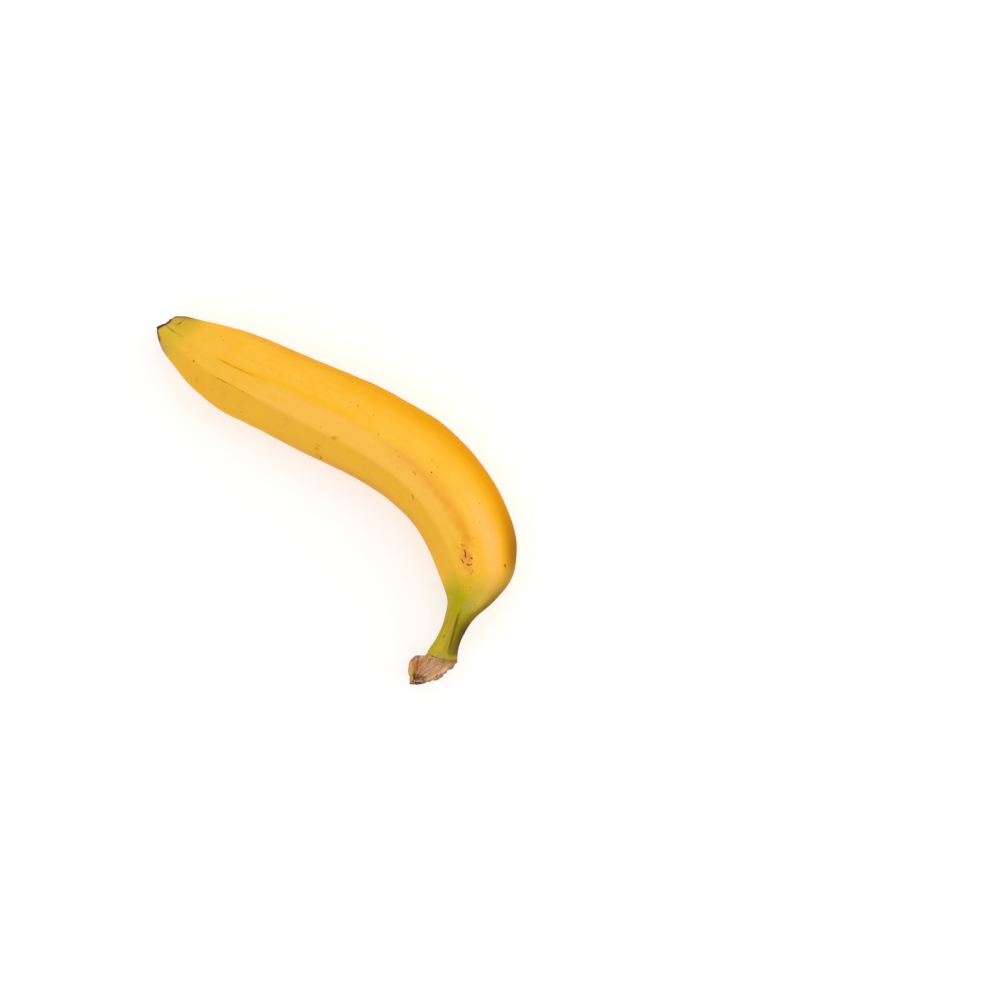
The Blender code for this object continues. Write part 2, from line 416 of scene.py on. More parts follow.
def skin_mesh():
    """The whole skin: the plain sections moved out along their normals by the relief, and capped.

    Fields: place (millimetres along, across, up), ridges (distance round from the top ridge, from
    the inner ridge and from the nearest one), torn (tissue, millimetres past the tear, crust).
    """
    along = ring_places()
    turn = np.broadcast_to(column_turns(), (len(along), sum(COLUMNS)))
    points, across, up = bare_skin(along, turn)
    points += blossom_shift(along, across)
    distances = [round_distance(points, turn, ridge) for ridge in range(FACES)]
    relief = skin_relief(points, along, across, up, distances)
    rings = points + outward(points) * relief[..., None]
    blossom = end_cap(rings[0], rings[3], BLOSSOM_DOME, BLOSSOM_RINGS)
    stub = end_cap(rings[-1], rings[-4], STUB_DOME, STUB_RINGS)
    rings = np.concatenate([blossom[::-1], rings, stub])
    rings[..., 2] = np.maximum(rings[..., 2], 0.0)

    place = np.stack([along[:, None] + 0 * across, across, up], axis=-1)
    nearest = np.min(np.abs(distances), axis=0)
    ridges = np.stack([distances[TOP_RIDGE], distances[INNER_RIDGE], nearest], axis=-1)
    past = past_tear(along, across)
    tissue = smooth(past, 0.05, 0.4) * smooth(up, -0.4, -0.1) * smooth(across, -0.9, -0.8)
    depth = -0.05 + 0.9 * (1 - smooth(across, -0.75, -0.2)) * (1 - 0.5 * smooth(-across, 0.8, 1.0))
    crust = 1 - smooth(along[:, None] - depth - 0.22 * waves(points, 2.2, seed=15), -0.15, 0.45)
    torn = np.stack([tissue, np.clip(past, -30, 30), crust], axis=-1)

    def capped(grid, first, last):
        """The grid with its end rings repeated over the caps, with given values where not None."""
        before = np.repeat(grid[:1], BLOSSOM_RINGS, axis=0)
        after = np.repeat(grid[-1:], STUB_RINGS, axis=0)
        for cap, values in ((before, first), (after, last)):
            for axis, value in enumerate(values):
                if value is not None:
                    cap[..., axis] = value
        return np.concatenate([before, grid, after])

    fields = {
        "place": capped(place, (-1.0, None, None), (None, None, None)),
        "ridges": capped(ridges, (9.0, 9.0, 9.0), (9.0, 9.0, 9.0)),
        "torn": capped(torn, (0.0, -30.0, 1.0), (1.0, 12.0, 0.0)),
    }
    return closed_mesh("banana_skin", rings, fields)


def strands_mesh(name, roots, reaches, widths, seed):
    """Thin tapering fibres lying along the torn face, closed at both ends, as one mesh.

    Each runs from its root, given as along and turn, towards the point where the fibres meet; its
    middle follows the face and its radius falls as the square root of what is left of its length.
    """
    steps, sides = 9, 6
    share = np.linspace(0, 1, steps)
    random = np.random.default_rng(seed)
    points, faces = [], []
    for root, reach, width in zip(roots, reaches, widths):
        lift = random.uniform(0.05, 0.5) * share**2 - 0.18 * (1 - share)
        start, _, _ = bare_skin(np.array([root[0]]), np.array([[root[1]]]))
        start = start[0, 0]
        aim = np.array([*FIBRES_MEET, start[2] - 5.0]) - start
        aim /= np.linalg.norm(aim)
        sway = random.normal(0, 0.12, 3)
        spine = start + aim * reach * share[:, None] + sway * reach * (share**2)[:, None]
        spine[:, 2] += lift
        side = np.cross(aim, (0, 0, 1.0))
        side /= np.linalg.norm(side)
        top = np.cross(side, aim)
        angle = np.linspace(0, 2 * np.pi, sides, endpoint=False)
        radius = width * np.sqrt(np.clip(1.0 - share, 0, 1)) + 0.02
        ring = side * np.cos(angle)[:, None] + top * np.sin(angle)[:, None]
        tube = spine[:, None, :] + ring * radius[:, None, None]
        number = np.arange(steps * sides).reshape(steps, sides) + sum(len(p) for p in points)
        beside = np.roll(number, -1, axis=1)
        quads = np.stack([number[:-1], number[1:], beside[1:], beside[:-1]], axis=-1)
        points.append(tube.reshape(-1, 3))
        faces += quads.reshape(-1, 4).tolist() + [number[0].tolist(), number[-1][::-1].tolist()]
    mesh = bpy.data.meshes.new(name)
    mesh.from_pydata((np.concatenate(points) * MM).tolist(), [], faces)
    return mesh


def show(name, mesh, finish):
    """Adds a finished piece that rides on the fruit and takes its finish from a slot."""
    mesh.materials.append(finish)
    mesh.shade_smooth()
    piece = bpy.data.objects.new(name, mesh)
    bpy.context.scene.collection.objects.link(piece)
    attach(piece, "root")
    return piece


# Finishes: nodes and the peel's layers


def paint(red, green, blue):
    """A colour as seen on a screen, 0 to 255, as the shader's linear numbers."""
    seen = np.array([red, green, blue]) / 255
    linear = np.where(seen <= 0.04045, seen / 12.92, ((seen + 0.055) / 1.055) ** 2.4)
    return (*linear.tolist(), 1.0)


class Wire:
    """One value in a finish's nodes. Python's operators on it add Math nodes."""

    def __init__(self, finish, socket):
        self.finish, self.socket = finish, socket

    def maths(self, operation, *values):
        return self.finish.node("ShaderNodeMath", {"operation": operation}, dict(enumerate(values)))

    def __add__(self, other):
        return self.maths("ADD", self, other)

    def __sub__(self, other):
        return self.maths("SUBTRACT", self, other)

    def __rsub__(self, other):
        return self.maths("SUBTRACT", other, self)

    def __mul__(self, other):
        return self.maths("MULTIPLY", self, other)

    def __truediv__(self, other):
        return self.maths("DIVIDE", self, other)

    def __abs__(self):
        return self.maths("ABSOLUTE", self)

    __radd__, __rmul__ = __add__, __mul__

    def larger(self, other):
        return self.maths("MAXIMUM", self, other)

    def smaller(self, other):
        return self.maths("MINIMUM", self, other)

    def ease(self, low, high):
        """From 0 at low to 1 at high, easing in and out; low may be the greater of the two."""
        settings = {"interpolation_type": "SMOOTHSTEP"}
        return self.finish.node(
            "ShaderNodeMapRange", settings, {"Value": self, "From Min": low, "From Max": high}
        )

    def near(self, centre, width):
        """1 at centre, easing to 0 at width to either side."""
        return abs(self - centre).ease(width, 0.0)


class Finish:
    """A procedural material: adds nodes and plugs values into its Principled shader."""

    def __init__(self, name):
        self.material = bpy.data.materials.new(name)
        self.material.use_nodes = True
        self.tree = self.material.node_tree
        self.shader = self.tree.nodes["Principled BSDF"]

    def node(self, kind, settings=None, inputs=None, output=0):
        """One node: its settings first, then its sockets' values or links; gives one output."""
        made = self.tree.nodes.new(kind)
        for name, value in (settings or {}).items():
            setattr(made, name, value)
        for name, value in (inputs or {}).items():
            self.plug(made.inputs[name], value)
        return Wire(self, made.outputs[output])

    def plug(self, socket, value):
        if isinstance(value, Wire):
            self.tree.links.new(value.socket, socket)
        else:
            socket.default_value = value

    def set(self, **sockets):
        """Values and links of the shader's own sockets, named with _ for each space."""
        for name, value in sockets.items():
            self.plug(self.shader.inputs[name.replace("_", " ")], value)

    def object_place(self):
        """Object coordinates in millimetres."""
        place = self.node("ShaderNodeTexCoord", output=3)
        return self.vector("SCALE", place, Scale=1000.0)

    def vector(self, operation, first, second=None, output=0, **inputs):
        sockets = {0: first, **inputs}
        if second is not None:
            sockets[1] = second
        return self.node("ShaderNodeVectorMath", {"operation": operation}, sockets, output)

    def field(self, name):
        """The three numbers of a piece's field."""
        settings = {"attribute_type": "GEOMETRY", "attribute_name": name}
        whole = self.node("ShaderNodeAttribute", settings, output=1)
        return [self.node("ShaderNodeSeparateXYZ", None, {0: whole}, axis) for axis in range(3)]

    def join(self, x, y, z):
        return self.node("ShaderNodeCombineXYZ", None, {0: x, 1: y, 2: z})

    def noise(self, place, scale, detail=3.0, roughness=0.5, distortion=0.0):
        inputs = {
            "Vector": place,
            "Scale": scale,
            "Detail": detail,
            "Roughness": roughness,
            "Distortion": distortion,
        }
        return self.node("ShaderNodeTexNoise", None, inputs)

    def streaks(self, run, turn, scale, detail=4.0, roughness=0.65):
        """Noise drawn out along the fruit: its length counts run times, its sides turn times."""
        along, across, up = self.field("place")
        drawn_out = self.join(along * run, across * turn, up * turn)
        return self.noise(drawn_out, scale, detail, roughness)

    def mix(self, first, second, share):
        """Two colours mixed, the second by share."""
        sockets = {0: share, 6: first, 7: second}
        return self.node("ShaderNodeMix", {"data_type": "RGBA"}, sockets, 2)

    def bump(self, height, distance, normal=None):
        inputs = {"Height": height, "Distance": distance, "Strength": 1.0}
        if normal is not None:
            inputs["Normal"] = normal
        return self.node("ShaderNodeBump", None, inputs)


RIPE_LIGHT = paint(255, 197, 72)
RIPE_DEEP = paint(252, 187, 50)
STRIP_PEACH = paint(255, 195, 88)
RIDGE_YELLOW = paint(255, 189, 24)
# Painted shade: the outer side, which turns away from the light, is drawn a deeper, more saturated
# orange.
OUTER_SHADE_ORANGE = paint(249, 174, 0)
# Painted shade: deep orange for the outer edge, where it turns from the light, as if shaded by fruit
# lying beside it.
PAINTED_EDGE_SHADE_ORANGE = paint(222, 143, 0)
# Painted shadow: dark brown for the outer edge near the bend, as if shaded by fruit lying beside it.
PAINTED_EDGE_SHADOW = paint(140, 90, 0)
# Painted highlight: a pale peach sheen of soft light on the outer top near the bend.
PAINTED_HIGHLIGHT_PEACH = paint(249, 196, 116)
INNER_OCHRE = paint(251, 187, 55)
INNER_DULL = paint(228, 176, 66)
# Painted shade: dull brownish orange for the inner edge, where the fruit turns under.
INNER_EDGE_SHADE = paint(222, 156, 68)
UNDER_YELLOW = paint(238, 176, 48)
TIP_GREEN = paint(222, 190, 54)
TIP_OLIVE = paint(208, 168, 44)
GREEN_BRIGHT = paint(186, 172, 0)
GREEN_PALE = paint(200, 182, 44)
GREEN_TAN = paint(196, 160, 56)
# The neck's own dark green, for its marks; also used as painted shade on the neck's outer half and in
# its groove.
DARK_GREEN_AND_SHADE = paint(80, 61, 6)
# Painted shade: near black for the neck's outer edge.
PAINTED_NECK_SHADE = paint(56, 38, 8)
LIP_TAN = paint(182, 156, 72)
# Painted shade: dark brown on the shoulder's outer side.
PAINTED_SHOULDER_SHADE = paint(122, 92, 14)
# Painted shade: a duller tan laid over the shoulder's yellow.
SHOULDER_TAN_SHADE = paint(226, 176, 74)
RIDGE_LINE = paint(222, 142, 4)
SCRATCH_BROWN = paint(194, 108, 34)
FLECK = paint(212, 118, 36)
RUBBED = paint(240, 164, 66)
SMEAR = paint(236, 156, 38)
BRUISE_PINK = paint(229, 146, 72)
BLOTCH = paint(226, 148, 24)
SPECK_HALO = paint(212, 132, 34)
SPECK_CORE = paint(134, 54, 4)
TISSUE_PALE = paint(244, 200, 158)
TISSUE_TAN = paint(212, 160, 112)
TISSUE_BROWN = paint(158, 98, 58)
TISSUE_OLIVE = paint(168, 124, 62)
TISSUE_ORANGE = paint(200, 130, 60)
WEDGE_OCHRE = paint(200, 164, 68)
TISSUE_RED = paint(146, 72, 30)
TISSUE_DEEP = paint(106, 58, 40)
FLAP_YELLOW = paint(224, 184, 94)
FLAP_TAN = paint(210, 164, 104)
DRIED_DARK = paint(74, 40, 30)
DRIED_DULL = paint(122, 92, 80)
DRIED_GREY = paint(176, 132, 134)
RIM_PURPLE = paint(82, 50, 58)
RIM_BROWN = paint(126, 86, 52)
RIM_PINK = paint(206, 150, 104)
SCUFF_GREY = paint(178, 162, 92)

# Specks seen from above: plan place and radius in millimetres, and how dark.
SPECKS = (
    (-19.6, -20.3, 0.52, 1.0),
    (-19.3, -23.4, 0.4, 0.5),
    (-16.2, -22.8, 0.4, 0.5),
    (-17.6, -23.1, 0.3, 0.3),
    (-15.8, -15.0, 0.5, 0.6),
    (-16.6, -14.9, 0.45, 0.6),
    (-16.2, -16.3, 0.35, 0.45),
    (-5.2, -14.1, 0.35, 0.4),
    (-7.8, -13.7, 0.42, 0.5),
    (-39.3, -28.4, 0.45, 0.6),
    (-45.2, -24.4, 0.38, 0.5),
    (-39.5, -6.5, 0.38, 0.4),
    (-48.6, -19.2, 0.42, 0.5),
    (-48.8, -17.5, 0.35, 0.35),
    (-63.2, -7.7, 0.5, 0.6),
    (-69.7, -5.0, 0.5, 0.6),
    (-65.8, -24.8, 0.6, 0.7),
    (-66.5, -24.1, 0.5, 0.7),
    (16.6, -11.8, 0.45, 0.6),
    (19.2, -10.4, 0.35, 0.4),
    (25.4, -15.1, 0.3, 0.35),
    (66.2, 16.1, 0.45, 0.5),
    (75.9, 34.7, 0.4, 0.45),
    (69.9, 29.4, 0.4, 0.4),
    (53.1, 30.2, 0.4, 0.45),
    (43.0, 23.9, 0.35, 0.3),
    (40.2, 26.1, 0.42, 0.5),
    (43.4, 19.3, 0.35, 0.35),
    (27.1, 10.9, 0.35, 0.35),
    (65.8, 29.6, 0.6, 0.7),
    (9.0, 11.2, 0.7, 0.6),
    (-54.5, -14.3, 0.62, 1.0),
    (-47.1, -15.2, 0.35, 0.5),
    (-58.5, -11.9, 0.5, 0.6),
    (-59.0, -10.9, 0.4, 0.45),
    (-59.4, -10.5, 0.35, 0.4),
    (-58.7, -8.9, 0.35, 0.35),
    (-61.6, -12.6, 0.35, 0.35),
)

# Strokes seen from above: plan places of their ends and half width in millimetres, and how dark.
SKIN_STROKES = (
    (-50.5, -13.8, -51.5, -13.6, 0.36, 0.85),
    (-51.4, -13.6, -52.4, -12.9, 0.42, 1.0),
    (-52.3, -12.9, -53.2, -12.7, 0.32, 0.7),
    (-52.5, -10.9, -54.3, -10.8, 0.32, 0.9),
    (-55.3, -11.7, -56.1, -12.0, 0.38, 0.9),
    (-56.1, -12.0, -56.3, -12.9, 0.35, 0.8),
    (-53.7, -14.2, -54.5, -14.3, 0.36, 0.65),
    (-48.0, -14.1, -49.2, -14.7, 0.34, 0.5),
    (-63.6, -23.0, -64.5, -22.8, 0.42, 0.8),
    (65.8, 29.5, 62.0, 28.6, 0.3, 0.2),
    (-22.4, -9.6, -23.8, -9.0, 0.35, 0.6),
)
# Darker strokes on the green parts: the neck, then the scar and the streak at the blossom end.
GREEN_STROKES = (
    (-72.9, 11.3, -73.2, 11.7, 0.4, 0.6),
    (-69.0, 6.8, -70.3, 10.5, 0.22, 0.4),
    (-72.4, 4.6, -72.7, 5.0, 0.35, 0.5),
    (82.1, 27.8, 81.6, 26.8, 0.28, 0.5),
    (81.6, 26.8, 81.6, 25.8, 0.42, 0.7),
    (81.6, 25.8, 81.8, 24.6, 0.26, 0.45),
    (84.0, 31.3, 81.4, 30.4, 0.6, 0.3),
    (81.4, 30.4, 79.8, 29.8, 0.5, 0.42),
    (79.8, 29.8, 76.4, 28.1, 0.65, 0.17),
)

# Soft stains seen from above: plan place and radius in millimetres, and how strong.
PINK_STAINS = ((-52.8, -13.0, 3.4, 0.75), (-56.4, -12.0, 3.4, 0.6), (-50.0, -14.0, 3.0, 0.45))
BLOTCH_STAINS = (
    (11.6, 1.7, 1.5, 0.9),
    (12.6, 10.0, 1.9, 0.7),
    (10.2, 11.4, 1.6, 0.7),
    (60.2, 33.5, 2.0, 0.3),
)

# The torn face seen from above: strokes in their own colours, drawn in this order; the purple ones are
# a painted highlight.
ORANGE_STROKES = ((-75.9, 26.4, -79.6, 29.2, 2.7, 0.85), (-76.2, 24.4, -78.3, 27.0, 2.2, 0.6))
DEEP_STROKES = ((-79.4, 29.4, -82.1, 27.4, 1.7, 0.75),)
RED_STROKES = (
    (-80.2, 30.0, -78.3, 26.4, 0.6, 0.75),
    (-74.4, 24.6, -77.9, 27.7, 0.4, 0.45),
    (-77.2, 27.2, -80.4, 29.8, 0.4, 0.5),
    (-79.3, 26.9, -79.8, 28.9, 0.5, 0.6),
)
WEDGE_STROKES = ((-77.0, 19.8, -77.7, 23.0, 1.1, 0.9),)
FLAP_STROKES = ((-74.2, 27.9, -76.6, 29.6, 0.9, 0.95), (-76.6, 29.6, -80.0, 31.6, 0.95, 0.95))
# Painted highlight: light purplish grey strokes along the crest of the flap, where light catches it.
PURPLE_HIGHLIGHT_STROKES = ((-73.2, 25.6, -74.3, 24.1, 0.5, 0.7), (-74.3, 24.1, -75.6, 22.6, 0.3, 0.5))
DARK_STROKES = (
    (-76.5, 19.5, -77.9, 18.2, 0.26, 0.95),
    (-80.8, 33.2, -81.6, 31.9, 0.45, 0.6),
    (-81.6, 31.0, -83.9, 28.4, 0.6, 0.9),
    (-79.9, 30.1, -80.7, 30.2, 0.7, 0.7),
)
DULL_STROKES = (
    (-84.9, 14.5, -85.1, 20.5, 0.85, 0.6),
    (-85.1, 20.5, -85.3, 24.0, 0.75, 0.6),
    (-77.9, 18.2, -81.0, 16.1, 0.25, 0.4),
    (-81.0, 16.1, -84.2, 14.1, 0.25, 0.35),
    (-84.3, 17.1, -84.2, 14.2, 0.5, 0.5),
    (-84.7, 21.4, -84.3, 20.7, 0.35, 0.8),
    (-84.4, 23.2, -84.0, 22.2, 0.4, 0.9),
    (-83.9, 28.2, -84.3, 26.4, 0.4, 0.6),
)


def strongest(values):
    """The greatest of several wires, each made only when its turn comes, which saves room."""
    values = iter(values)
    total = next(values)
    for value in values:
        total = total.larger(value)
    return total


def plan_of(peel, place, ragged, scale=1.6):
    """The plan place of each point, shifted a little so that marks have ragged edges."""
    inputs = {"Vector": place, "Scale": scale, "Detail": 2.0}
    shift = peel.node("ShaderNodeTexNoise", None, inputs, 1)
    shift = [peel.node("ShaderNodeSeparateColor", None, {0: shift}, part) for part in range(3)]
    shift = peel.vector("SUBTRACT", peel.join(*shift), (0.5, 0.5, 0.5))
    shift = peel.vector("SCALE", shift, Scale=ragged)
    return peel.vector("MULTIPLY", peel.vector("ADD", place, shift), (1.0, 1.0, 0.0))


def spot_mask(peel, plan, x, y, radius, strength, soft):
    """A round spot: full inside soft times its radius, fading to nothing at its radius."""
    away = peel.vector("DISTANCE", plan, (x, y, 0.0), output=1)
    return away.ease(radius, radius * soft) * strength


def stroke_mask(peel, plan, x0, y0, x1, y1, width, strength):
    """A stroke: the distance from a point to the line between its ends, faded over its width."""
    run = np.array([x1 - x0, y1 - y0])
    from_start = peel.vector("SUBTRACT", plan, (x0, y0, 0.0))
    unit = (*(run / (run @ run)).tolist(), 0.0)
    share = peel.vector("DOT_PRODUCT", from_start, unit, output=1).larger(0.0).smaller(1.0)
    nearest = peel.vector("SCALE", (*run.tolist(), 0.0), Scale=share)
    away = peel.vector("DISTANCE", from_start, nearest, output=1)
    return away.ease(width, width * 0.25) * strength


def yellow_layers(peel, place, along, across, up, from_top_ridge, from_inner_ridge):
    """The ripe yellow: patches and faint streaks, ochre inside and below, and oranger outside as
    painted shade; painted shade in deep orange and brown along the outer edge and along the inner edge,
    and a painted highlight by the bend.
    """
    patches = peel.noise(place, 0.07, 3.0, 0.55)
    streaks = peel.streaks(0.05, 5.0, 1.8, 5.0)
    grain = peel.noise(place, 1.3, 2.0, 0.6)
    share = (patches * 0.6 + streaks * 0.5 + grain * 0.3).ease(0.45, 0.95)
    colour = peel.mix(RIPE_LIGHT, RIPE_DEEP, share)
    strip = from_top_ridge.ease(0.3, 3.0) * along.ease(28.0, 60.0) * along.ease(150.0, 120.0)
    colour = peel.mix(colour, STRIP_PEACH, strip * 0.6)
    # Painted highlight: a pale peach patch on the outer top near the bend.
    painted_highlight = across.near(0.42, 0.34) * along.near(148.0, 24.0)
    colour = peel.mix(colour, PAINTED_HIGHLIGHT_PEACH, painted_highlight * 0.7)
    outside = up.ease(-1.0, -0.2) * along.ease(170.0, 152.0)
    # Painted shade: the outer side drawn deeper orange.
    outer = across.ease(0.3, 0.92) * along.ease(10.0, 105.0) * outside
    colour = peel.mix(colour, OUTER_SHADE_ORANGE, outer * 0.95)
    # Painted shade: the outer edge drawn deep orange, strongest by the bend, with a thinner band of it
    # near the blossom end.
    edge = across.ease(0.6, 0.98) * along.ease(50.0, 145.0) * outside
    thin_edge_shade = across.ease(0.72, 1.0) * along.ease(9.0, 34.0) * outside * 0.45
    colour = peel.mix(colour, PAINTED_EDGE_SHADE_ORANGE, (edge * 0.95).larger(thin_edge_shade))
    # Painted shadow: the outer edge near the bend drawn dark brown.
    edge_shadow_mask = across.ease(0.56, 0.98) * along.near(157.0, 23.0) * up.ease(-0.6, 0.0)
    colour = peel.mix(colour, PAINTED_EDGE_SHADOW, edge_shadow_mask * 0.8)
    below = up.ease(0.1, -0.5)
    colour = peel.mix(colour, UNDER_YELLOW, below * 0.6)
    inner = from_inner_ridge.ease(-1.4, 1.6) * from_inner_ridge.ease(30.0, 14.0)
    inner = inner * along.ease(4.0, 24.0) * along.ease(160.0, 135.0)
    colour = peel.mix(colour, INNER_OCHRE, inner * 0.9)
    dull = peel.noise(place, 0.16, 4.0, 0.6).ease(0.5, 0.72)
    colour = peel.mix(colour, INNER_DULL, inner * dull * 0.4)
    # Painted shade along the inner edge, broken up by the streaks.
    inner_shade_mask = across.ease(-0.78, -1.0) * along.near(95.0, 66.0) * up.ease(-1.0, -0.3)
    return peel.mix(colour, INNER_EDGE_SHADE, inner_shade_mask * (streaks * 0.6 + 0.3))


def green_layers(peel, colour, place, along, across, up):
    """Green that has not yet turned, at the neck and at the blossom end, with painted shade on the
    shoulder, down the neck's outer side and in its groove.
    """
    uneven = peel.noise(place, 0.12, 3.0, 0.6) * 10.0 - 5.0
    centre = across.ease(-0.2, 0.6) * 8.0 - across.ease(-0.5, -0.9) * 3.0 + 163.0
    centre = centre - across.near(-0.6, 0.35) * 4.0
    streaks = peel.streaks(0.05, 3.0, 1.5)
    # Painted shade: the shoulder's yellow dulled to tan.
    shoulder_tan_shade = across.ease(-0.3, 0.2) * along.near(167.0, 11.0)
    colour = peel.mix(colour, SHOULDER_TAN_SHADE, shoulder_tan_shade * 0.8)
    neck = (along - centre + uneven).ease(-8.0, 8.0)
    green = peel.mix(GREEN_PALE, GREEN_TAN, streaks.ease(0.42, 0.66))
    middle = along.near(169.0, 17.0) * across.near(-0.46, 0.62)
    green = peel.mix(green, GREEN_BRIGHT, middle * 0.95)
    neck_tan = along.near(182.0, 8.0) * across.near(-0.4, 0.5) * streaks.ease(0.35, 0.6)
    green = peel.mix(green, GREEN_TAN, neck_tan * 0.7)
    colour = peel.mix(colour, green, neck)
    # Painted shade: the shoulder's outer side drawn dark brown.
    shoulder = across.ease(0.3, 1.0) * along.near(171.0, 14.0) * up.ease(-0.9, -0.2)
    colour = peel.mix(colour, PAINTED_SHOULDER_SHADE, shoulder * 0.9)
    scuffs = peel.noise(place, 0.9, 4.0, 0.7).ease(0.4, 0.6) * along.near(171.5, 4.5)
    colour = peel.mix(colour, SCUFF_GREY, scuffs * across.near(0.1, 0.6) * up.ease(0.0, 0.4) * 0.85)
    # Dark olive down the neck's outer half: partly the skin's own green, partly painted shade.
    olive_and_shade = (across - (along - 180.0) * 0.022).ease(-0.75, 0.95) * along.ease(170.0, 183.0)
    olive_and_shade = olive_and_shade * up.ease(-0.9, -0.1)
    colour = peel.mix(colour, DARK_GREEN_AND_SHADE, olive_and_shade * 0.95)
    # Painted shade: a dark line drawn along the neck's groove.
    groove = (along - 172.0) * 0.04 - 0.33
    line = (across - groove.smaller(0.34)).near(0.0, 0.14)
    line = line * along.ease(174.0, 180.0) * along.ease(192.0, 187.0) * up.ease(0.0, 0.3)
    colour = peel.mix(colour, DARK_GREEN_AND_SHADE, line * 0.45)
    # Painted shade along the neck's outer edge.
    shade = across.ease(0.75, 1.0) * along.near(184.0, 9.0) * up.ease(-0.6, 0.0)
    colour = peel.mix(colour, PAINTED_NECK_SHADE, shade * 0.6)
    tip = (along + across * 3.0 + uneven * 0.5).ease(14.0, 3.0)
    colour = peel.mix(colour, TIP_GREEN, tip * 0.85)
    outer_tip = across.ease(-0.1, 0.3) * along.ease(13.0, 5.0)
    return peel.mix(colour, TIP_OLIVE, outer_tip * 0.6)


def ridge_layers(peel, colour, place, along, across, from_top_ridge, from_inner_ridge):
    """Lines along the top ridge and the inner ridge, and the rubbed band that leads to the bruise."""
    broken = peel.noise(place, 0.35, 3.0, 0.6).ease(0.38, 0.6)
    line = from_top_ridge.near(-0.8, 1.8) * along.ease(6.0, 40.0) * along.ease(105.0, 60.0)
    colour = peel.mix(colour, RIDGE_YELLOW, line * 0.8)
    wobble = peel.noise(place, 0.45, 3.0, 0.6) - 0.5
    core = (from_top_ridge + wobble * 0.8).near(0.0, 0.62) * along.ease(24.0, 29.0)
    core = core * along.ease(48.0, 34.0) * (broken * 0.4 + 0.6)
    colour = peel.mix(colour, RIDGE_LINE, core * 0.9)
    uneven = peel.streaks(0.3, 4.0, 1.2)
    place_of = across + (uneven - 0.5) * 0.16
    band = place_of.near(-0.07, 0.26) * along.ease(90.0, 112.0) * along.ease(140.0, 120.0)
    colour = peel.mix(colour, RUBBED, band * 0.5)
    smear = place_of.near(-0.08, 0.2) * along.ease(116.0, 142.0) * along.ease(150.0, 144.0)
    colour = peel.mix(colour, SMEAR, smear * (uneven * 0.9 + 0.35))
    scratch = (from_inner_ridge + wobble * 1.2).near(0.1, 0.4) * along.ease(27.0, 31.0)
    scratch = scratch * along.ease(50.0, 38.0)
    return peel.mix(colour, SCRATCH_BROWN, scratch * (broken * 0.7 + 0.15))


def scattered(peel, place, scale, most):
    """Scattered points: the distance to the nearest, and its own random size of up to most."""
    inputs = {"Vector": place, "Scale": scale}
    cells = peel.node("ShaderNodeTexVoronoi", None, inputs)
    draw = peel.node("ShaderNodeTexVoronoi", None, inputs, 1)
    size = peel.node("ShaderNodeSeparateColor", None, {0: draw}).ease(0.35, 1.0) * most
    return cells, size


def mark_layers(peel, colour, place, along, up, from_ridge):
    """Stains, specks and strokes on the upper side; freckles, spots and rubs on the others."""
    seen = up.ease(-0.1, 0.25)
    soft_plan = plan_of(peel, place, 4.0, 0.5)
    for paint_of, stains in ((BRUISE_PINK, PINK_STAINS), (BLOTCH, BLOTCH_STAINS)):
        mask = strongest(spot_mask(peel, soft_plan, *stain, 0.0) for stain in stains)
        colour = peel.mix(colour, paint_of, mask * seen)
    cloud = spot_mask(peel, soft_plan, -53.5, -13.0, 7.5, 1.0, 0.1)
    flecks = peel.noise(place, 1.7, 3.0, 0.7).ease(0.52, 0.63) * cloud
    colour = peel.mix(colour, FLECK, flecks * seen * 0.65)
    plan = plan_of(peel, place, 0.5)
    specks = strongest(spot_mask(peel, plan, *speck, 0.2) for speck in SPECKS)
    strokes = strongest(stroke_mask(peel, plan, *stroke) for stroke in SKIN_STROKES)
    mark = specks.larger(strokes) * seen
    colour = peel.mix(colour, SPECK_HALO, mark.ease(0.0, 0.5) * 0.85)
    colour = peel.mix(colour, SPECK_CORE, mark.ease(0.35, 1.0))
    green_mark = strongest(stroke_mask(peel, plan, *stroke) for stroke in GREEN_STROKES)
    colour = peel.mix(colour, DARK_GREEN_AND_SHADE, green_mark * seen)
    cells, size = scattered(peel, place, 0.28, 0.1)
    freckle = (cells - size).ease(0.04, -0.02)
    colour = peel.mix(colour, SPECK_HALO, freckle * 0.5)
    unseen = up.ease(-0.05, -0.35) * along.ease(3.0, 10.0) * along.ease(192.0, 180.0)
    ragged = peel.noise(place, 0.8, 3.0, 0.7)
    cells, size = scattered(peel, place, 0.09, 0.11)
    spot = (cells + ragged * 0.06 - size).ease(0.05, 0.0) * unseen
    colour = peel.mix(colour, SPECK_HALO, spot * 0.8)
    colour = peel.mix(colour, SPECK_CORE, spot.ease(0.6, 1.0) * 0.7)
    rub = (from_ridge + ragged - 0.5).near(0.0, 0.55) * peel.noise(place, 0.09, 2.0).ease(0.52, 0.62)
    return peel.mix(colour, SCRATCH_BROWN, rub * ragged.ease(0.4, 0.6) * unseen * 0.7)


